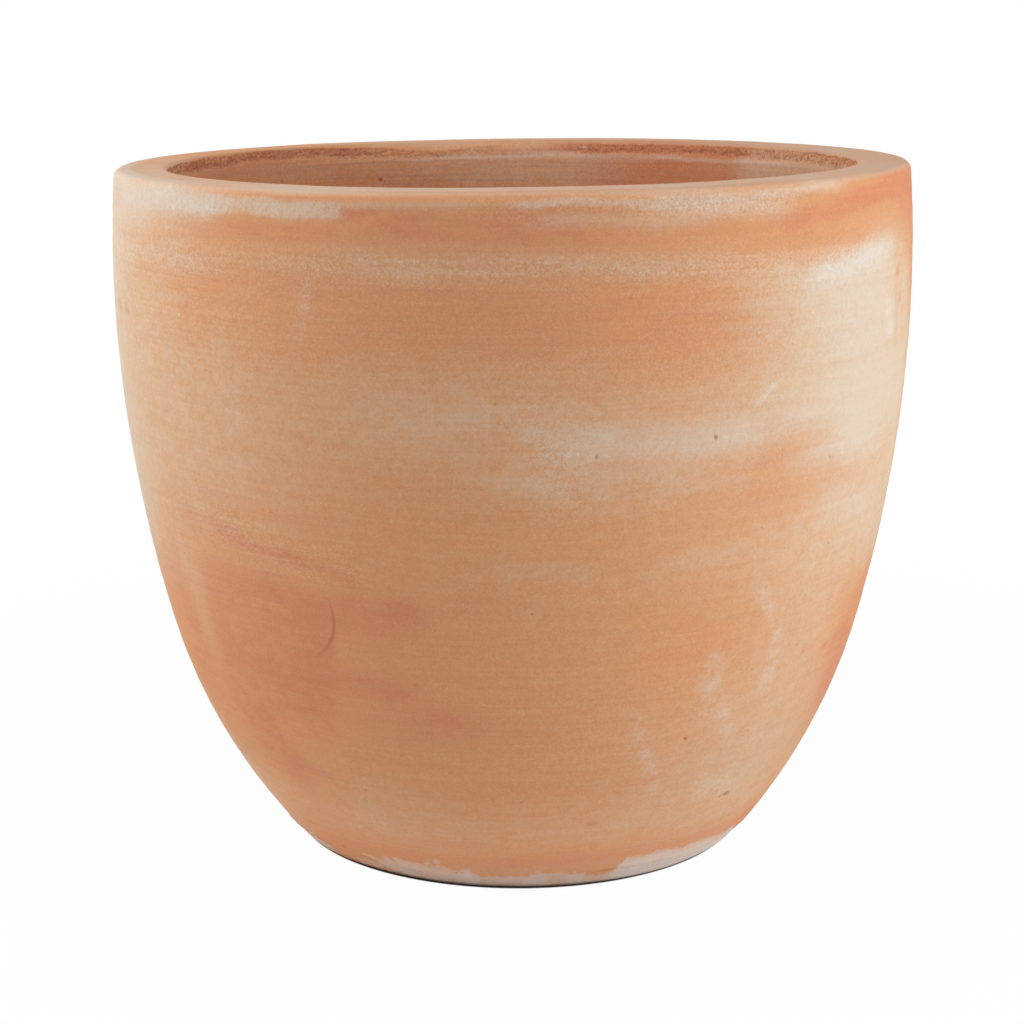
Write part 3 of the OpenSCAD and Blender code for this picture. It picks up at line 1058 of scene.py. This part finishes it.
def fired_clay(name, colours):
    """Unglazed clay: mottle, brush marks, red flashes, lime, chalk, crumbs, specks and grain."""
    material = bpy.data.materials.new(name)
    start = empty_nodes(material)
    place = start.node("ShaderNodeTexCoord", {}, {}, "Object")
    layer = {key: start.node("ShaderNodeAttribute", {"attribute_name": key}, {}, "Fac") for key in LAYERS}
    noises = {key: place.grain(*shape) for key, shape in CLAY_NOISES.items()}
    coarse = 1 + layer["grit"] * 1.5 + layer["inside"] * 1.4
    shares = stain_shares(layer, noises, coarse)
    clay = bare_clay(layer, noises, colours)
    clay = stained_clay(clay, shares, noises, colours)
    clay = torn_clay(clay, place, layer["torn"], shares["fire"], noises["grit"], colours)
    clay = specked_clay(clay, place, noises["pick"], colours)

    # Painted light: brighter low on the pot for the floor's bounce, and a painted highlight on the rim's
    # outer edge
    painted_bounce = 1 - start.node("ShaderNodeSeparateXYZ", {}, {"Vector": place}, "Z").ramp(*BOUNCE_STEP)
    calm = 1 - (shares["haze"] + shares["bloom"]).clamped() * 0.4
    speckle = blend(noises, SPECKLED) * calm * (0.6 + coarse * 0.4)
    sockets = {
        "Base Color": clay.scaled(1 + speckle + painted_bounce * BOUNCE_GAIN + layer["rub"] * HIGHLIGHT_GAIN),
        "Roughness": 0.8 + (noises["grain"] - 0.5) * 0.2 + shares["bloom"] * 0.08,
        "Normal": clay_relief(layer, noises),
        "Specular IOR Level": SHINE,
    }
    shader = start.node("ShaderNodeBsdfPrincipled", {}, sockets, "BSDF")
    start.node("ShaderNodeOutputMaterial", {}, {"Surface": shader})
    return material


# Painting the stains into a piece

# Keeps a stain without length from a division by zero
TINY = 1e-9


def spread(stain, azimuth, radius, height):
    """How strongly one stain covers each of the given places."""
    start_azimuth, start_height = stain.start
    end_azimuth, end_height = stain.end
    half_run = stain.half_run * MM
    half_rise = stain.half_rise * MM
    sweep = between(end_azimuth, start_azimuth)
    middle = start_azimuth + sweep / 2
    run = np.radians(between(azimuth, middle) + sweep / 2) * radius / half_run
    rise = (height - start_height * MM) / half_rise
    way_run = np.radians(sweep) * radius / half_run
    way_rise = (end_height - start_height) * MM / half_rise
    share = np.clip((run * way_run + rise * way_rise) / (way_run**2 + way_rise**2 + TINY), 0, 1)
    away = np.hypot(run - share * way_run, rise - share * way_rise)
    return stain.strength * 0.5 ** (away**stain.edge)


def outside_share(skin, profile):
    """1 on the pot's outer surface, 0 on its inside and top."""
    return 1 - soft_step(profile.radii_at(skin.height) - skin.radius, *OUTSIDE_STEP)


def inside_share(skin, profile):
    """1 on the pot's inner surface over its floor, 0 on its outside and foot."""
    deep = soft_step(profile.radii_at(skin.height) - skin.radius, *INSIDE_STEP)
    return deep * soft_step(skin.height, *FLOOR_STEP)


def paint(skin, sizes, profile):
    """Each layer of stain, as one number for each vertex."""
    azimuth = skin.azimuth
    height = skin.height
    noise.seed_set(WAVER_SEED)
    for waver in WAVERS:
        sway = np.array([noise.noise_vector(place) for place in (skin.places * waver.scale).tolist()]) * MM
        azimuth = azimuth + np.degrees(waver.run * sway[:, 0] / skin.radius)
        height = height + waver.rise * sway[:, 1]
    outside = outside_share(skin, profile)
    inside = inside_share(skin, profile)
    masks = {key: np.zeros(len(skin.radius)) for key in LAYERS}
    for stains, side in ((OUTSIDE_STAINS, outside), (INSIDE_STAINS, inside)):
        for stain in stains:
            cover = spread(stain, azimuth, skin.radius, height) * side
            masks[stain.layer] = 1 - (1 - masks[stain.layer]) * (1 - cover)
    from_top = skin.height - sizes.height
    top = soft_step(from_top + skin.around(DUST_REACH), *DUST_STEP)
    # The rim's outer edge, where a painted highlight brightens the clay
    edge = soft_step(from_top, *HIGHLIGHT_START_STEP) * (1 - soft_step(from_top, *HIGHLIGHT_END_STEP))
    masks["inside"] = inside * (1 - top)
    masks["top"] = top * skin.share_around(DUST_COVER)
    masks["rub"] = outside * edge * skin.around(EDGE_HIGHLIGHT)
    return masks


def make_piece(shape, name, node, slot, places, masks, colours):
    """Turn a bmesh into a shaded object with its painted layers, standing for a CAD node."""
    mesh = bpy.data.meshes.new(name)
    shape.to_mesh(mesh)
    shape.free()
    mesh.vertices.foreach_set("co", places.ravel())
    for key in LAYERS:
        layer = mesh.attributes.new(key, "FLOAT", "POINT")
        layer.data.foreach_set("value", masks[key].astype(np.float32))
    mesh.update()
    mesh.shade_smooth()
    mesh.set_sharp_from_angle(angle=SHARP_ANGLE)
    mesh.materials.append(fired_clay(slot, colours))
    piece = bpy.data.objects.new(name, mesh)
    bpy.context.scene.collection.objects.link(piece)
    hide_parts(node)
    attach(piece, "root")


# Operators, one for each piece and one for the stage


class POT_OT_foot(bpy.types.Operator):
    """Make the base slab with its tapered edge and drain hole"""

    bl_idname = "pot.make_foot"
    bl_label = "Make foot"

    def execute(self, context):
        sizes = context.scene.pot_sizes
        marks = context.scene.pot_marks
        profile = Profile(sizes)
        seat = profile.radius_at(sizes.slab_thickness, sizes.wall_thickness) - sizes.slip_gap
        foot = sizes.slab_radius - sizes.foot_taper
        drain_edge = sizes.drain_radius + sizes.drain_bevel

        section = Section(drain_edge, 0)
        section.line(foot - sizes.foot_bevel, 0, steps=40)
        section.line(foot, sizes.foot_bevel, steps=3)
        section.line(sizes.slab_radius, sizes.foot_height, steps=10)
        section.line(seat, sizes.foot_height, steps=6)
        section.line(seat, sizes.slab_thickness, steps=6)
        section.line(drain_edge, sizes.slab_thickness, steps=36)
        section.line(sizes.drain_radius, sizes.slab_thickness - sizes.drain_bevel, steps=3)
        section.line(sizes.drain_radius, sizes.drain_bevel, steps=8)
        section.close(steps=2)
        shape = section.turn(sizes.slab_steps)

        skin = Skin(shape)
        push = worn_foot(skin, sizes, marks, foot)
        places = moved_by_hand(skin, push, 0, sizes, marks)
        masks = paint(skin, sizes, profile)
        colours = context.scene.pot_colours
        make_piece(shape, "foot_slab", "base_slab", "foot_terracotta", places, masks, colours)
        return {"FINISHED"}


class POT_OT_wall(bpy.types.Operator):
    """Make the bowl-shaped wall with its pits, thumb mark and hanging lower edge"""

    bl_idname = "pot.make_wall"
    bl_label = "Make wall"

    # Finer mesh at the marks: its longest edge, and how far it goes beyond a pit
    longest_edge = 1 * MM
    pit_margin = 1.5 * MM
    # The crescent's place: a share of its circle's radius to the right, a drop from the middle and a reach
    thumb_run = 0.8
    thumb_drop = 9 * MM
    thumb_reach = 17 * MM

    def execute(self, context):
        sizes = context.scene.pot_sizes
        marks = context.scene.pot_marks
        profile = Profile(sizes)
        thickness = sizes.wall_thickness
        lean = profile.lean
        seam = sizes.height - sizes.rim_height
        seat = profile.radius_at(sizes.slab_thickness, thickness)
        round_turn = math.pi / 2 - sizes.flare
        tangent = sizes.skirt_round * math.tan(round_turn / 2)
        round_centre = Vector((sizes.skirt_radius - tangent, sizes.foot_height + sizes.skirt_round))
        round_share = tangent / profile.lower_radius

        section = Section(seat, sizes.foot_height)
        section.line(round_centre.x, sizes.foot_height, steps=4)
        section.arc(round_centre, round_turn, steps=3)
        section.arc(profile.lower_centre, sizes.flare - round_share - lean, steps=50)
        section.arc(profile.upper_centre, lean + profile.upper_angle(seam), steps=76)
        section.line(profile.radius_at(seam, thickness), seam, steps=3)
        section.arc(profile.upper_centre, -lean - profile.upper_angle(seam, thickness), steps=18)
        floor_angle = profile.lower_angle(sizes.slab_thickness, thickness)
        section.arc(profile.lower_centre, lean - floor_angle, steps=12)
        section.close(steps=2)
        shape = section.turn(sizes.wall_steps)

        for pit in PITS:
            reach = PIT_REACH * max(pit.half_run, pit.half_rise) * MM + self.pit_margin
            refine(shape, wall_spot(profile, pit.azimuth, pit.height * MM), reach, self.longest_edge)
        thumb_turn = math.degrees(self.thumb_run * THUMB_RADIUS * MM / sizes.belly_radius)
        thumb_height = THUMB_HEIGHT * MM - self.thumb_drop
        thumb_spot = wall_spot(profile, THUMB_AZIMUTH + thumb_turn, thumb_height)
        refine(shape, thumb_spot, self.thumb_reach, self.longest_edge)

        skin = Skin(shape)
        outside = outside_share(skin, profile)
        inwards, drop = lower_edge(skin, sizes, marks)
        push = inwards + press_pits(skin, PITS, outside) + press_thumb(skin, marks, outside)
        places = moved_by_hand(skin, push, drop, sizes, marks)
        masks = paint(skin, sizes, profile)
        colours = context.scene.pot_colours
        make_piece(shape, "thrown_wall", "wall", "wall_terracotta", places, masks, colours)
        return {"FINISHED"}


class POT_OT_rim(bpy.types.Operator):
    """Make the flat rim with its torn inner edge"""

    bl_idname = "pot.make_rim"
    bl_label = "Make rim"

    # Height of the close steps for the torn edge, and the finer mesh round a pit: longest edge and reach
    torn_band = 10 * MM
    longest_edge = 0.5 * MM
    pit_reach = 5 * MM

    def execute(self, context):
        sizes = context.scene.pot_sizes
        marks = context.scene.pot_marks
        profile = Profile(sizes)
        seam = sizes.height - sizes.rim_height
        edge_turn = profile.upper_angle(sizes.height - sizes.rim_round, sizes.rim_round)
        edge_way = Vector((math.cos(edge_turn), math.sin(edge_turn)))
        edge_centre = profile.upper_centre + (profile.upper_radius - sizes.rim_round) * edge_way
        inner_top = profile.radius_at(sizes.height) - sizes.rim_breadth
        inner_round = sizes.rim_inner_round
        inner_centre = Vector((inner_top + inner_round, sizes.height - inner_round))

        section = Section(profile.radius_at(seam, sizes.wall_thickness), seam)
        section.line(profile.radius_at(seam), seam, steps=4)
        section.arc(profile.upper_centre, edge_turn - profile.upper_angle(seam), steps=22)
        section.arc(edge_centre, math.pi / 2 - edge_turn, steps=7)
        section.line(inner_centre.x, sizes.height, steps=10)
        section.arc(inner_centre, math.pi / 2, steps=14)
        section.line(inner_top, sizes.height - self.torn_band, steps=10)
        section.close(steps=13)
        shape = section.turn(sizes.rim_steps)

        for pit in RIM_PITS:
            spot = point_at(inner_top, pit.azimuth, pit.height * MM)
            refine(shape, spot, self.pit_reach, self.longest_edge)
        skin = Skin(shape)
        torn, push = tear(skin, sizes, marks)
        push = push - press_pits(skin, RIM_PITS, 1 - outside_share(skin, profile))
        places = moved_by_hand(skin, push, lip_sag(skin, sizes, inner_top), sizes, marks)
        masks = paint(skin, sizes, profile)
        masks["torn"] = torn
        masks["top"] = masks["top"] * (1 - torn)
        colours = context.scene.pot_colours
        make_piece(shape, "flat_rim", "rim", "rim_terracotta", places, masks, colours)
        return {"FINISHED"}


def white_for_camera(start):
    """1 for the rays that see plain white, 0 for those that light the pot."""
    return sum(start.node("ShaderNodeLightPath", {}, {}, ray) for ray in WHITE_RAYS).clamped()


class POT_OT_stage(bpy.types.Operator):
    """Make the floor, lamps, surroundings and camera"""

    bl_idname = "pot.make_stage"
    bl_label = "Make stage"

    # Sides of the floor's disc
    floor_sides = 96

    def execute(self, context):
        scene = context.scene
        light = scene.pot_light
        self.make_floor(scene, light)
        self.make_surroundings(scene, light)
        for side in ("right", "left", "back", "top"):
            self.make_lamp(scene, light, side)
        self.make_camera(scene, light)
        scene.view_settings.view_transform = "Standard"
        return {"FINISHED"}

    def floor_shader(self, start, light):
        """White that keeps the pot's shadow, with a painted shadow: a dark ring where the foot meets the
        floor.
        """
        place = start.node("ShaderNodeTexCoord", {}, {}, "Object")
        away = start.node("ShaderNodeVectorMath", {"operation": "LENGTH"}, {0: place}, "Value")
        # Painted shadow: a dark ring under the foot's edge, in the floor's own colour
        painted_contact_shadow = 1 - away.ramp(light.contact_inner, light.contact_outer)
        fade = away.ramp(light.fade_start, light.fade_end)
        white_share = (light.floor_white + fade * (1 - light.floor_white)) * (1 - painted_contact_shadow)
        share = white_for_camera(start) * white_share
        floor_paint = painted_contact_shadow.mixed(light.floor_colour, light.contact_shadow_colour)
        lit = start.node("ShaderNodeBsdfDiffuse", {}, {"Color": floor_paint}, "BSDF")
        white = start.node("ShaderNodeEmission", {}, {"Color": WHITE, "Strength": 1.0}, "Emission")
        return start.node("ShaderNodeMixShader", {}, {0: share, 1: lit, 2: white}, "Shader")

    def make_floor(self, scene, light):
        """A wide white disc under the pot."""
        shape = bmesh.new()
        sides = self.floor_sides
        bmesh.ops.create_circle(shape, cap_ends=True, segments=sides, radius=light.floor_radius)
        mesh = bpy.data.meshes.new("floor")
        shape.to_mesh(mesh)
        shape.free()
        material = bpy.data.materials.new("white_floor")
        start = empty_nodes(material)
        start.node("ShaderNodeOutputMaterial", {}, {"Surface": self.floor_shader(start, light)})
        mesh.materials.append(material)
        floor = bpy.data.objects.new("floor", mesh)
        # The floor is shifted so that its painted contact shadow lies a little to the left of the foot and
        # towards the camera
        floor.location = (scene.pot_marks.lean - light.contact_left, -light.contact_near, 0)
        scene.collection.objects.link(floor)

    def make_surroundings(self, scene, light):
        """White all round: plain white to the camera, a soft fill to the pot."""
        world = bpy.data.worlds.new("white_room")
        start = empty_nodes(world)
        fill = start.node("ShaderNodeBackground", {}, {"Color": WHITE, "Strength": light.fill})
        white = start.node("ShaderNodeBackground", {}, {"Color": WHITE, "Strength": 1.0})
        share = white_for_camera(start)
        shader = start.node("ShaderNodeMixShader", {}, {0: share, 1: fill, 2: white}, "Shader")
        start.node("ShaderNodeOutputWorld", {}, {"Surface": shader})
        scene.world = world

    def place_body(self, scene, light, body, location):
        """Put a lamp or camera at a place, turned to the pot."""
        body.location = location
        aim = Vector((0, 0, light.aim_height)) - body.location
        body.rotation_euler = aim.to_track_quat("-Z", "Y").to_euler()
        scene.collection.objects.link(body)

    def make_lamp(self, scene, light, side):
        """A large soft lamp on one side of the pot."""
        name = side + "_lamp"
        lamp = bpy.data.lights.new(name, "AREA")
        lamp.shape = "SQUARE"
        lamp.size = light.lamp_size
        lamp.energy = getattr(light, side + "_power")
        body = bpy.data.objects.new(name, lamp)
        azimuth = math.degrees(getattr(light, side + "_azimuth"))
        distance = getattr(light, side + "_distance")
        self.place_body(scene, light, body, point_at(distance, azimuth, getattr(light, side + "_height")))
        body.visible_camera = False

    def make_camera(self, scene, light):
        """The photograph's viewpoint."""
        camera = bpy.data.cameras.new("camera")
        camera.sensor_width = light.sensor_width
        camera.lens = light.sensor_width * light.focal_pixels / light.picture_pixels
        body = bpy.data.objects.new("camera", camera)
        self.place_body(scene, light, body, point_at(light.camera_distance, 0, light.camera_height))
        scene.camera = body


class POT_PT_panel(bpy.types.Panel):
    """Buttons for the pot's pieces and its stage"""

    bl_idname = "POT_PT_panel"
    bl_label = "Terracotta pot"
    bl_space_type = "VIEW_3D"
    bl_region_type = "UI"
    bl_category = "Pot"

    def draw(self, context):
        for operator in OPERATORS:
            self.layout.operator(operator.bl_idname)
        for key, group in GROUPS.items():
            box = self.layout.box()
            for setting in group.__annotations__:
                box.prop(getattr(context.scene, key), setting)


OPERATORS = (POT_OT_foot, POT_OT_wall, POT_OT_rim, POT_OT_stage)
GROUPS = {
    "pot_sizes": PotSizes,
    "pot_marks": HandMarks,
    "pot_colours": ClayColours,
    "pot_light": StudioLight,
}


def register():
    """Make the groups, operators and panel known to Blender."""
    for key, group in GROUPS.items():
        bpy.utils.register_class(group)
        setattr(bpy.types.Scene, key, PointerProperty(type=group))
    for operator in OPERATORS:
        bpy.utils.register_class(operator)
    bpy.utils.register_class(POT_PT_panel)


def unregister():
    """Take them away again."""
    bpy.utils.unregister_class(POT_PT_panel)
    for operator in OPERATORS:
        bpy.utils.unregister_class(operator)
    for key, group in GROUPS.items():
        delattr(bpy.types.Scene, key)
        bpy.utils.unregister_class(group)


def main():
    """Build the pot and the stage."""
    register()
    bpy.ops.pot.make_foot()
    bpy.ops.pot.make_wall()
    bpy.ops.pot.make_rim()
    bpy.ops.pot.make_stage()


if __name__ == "__main__":
    main()
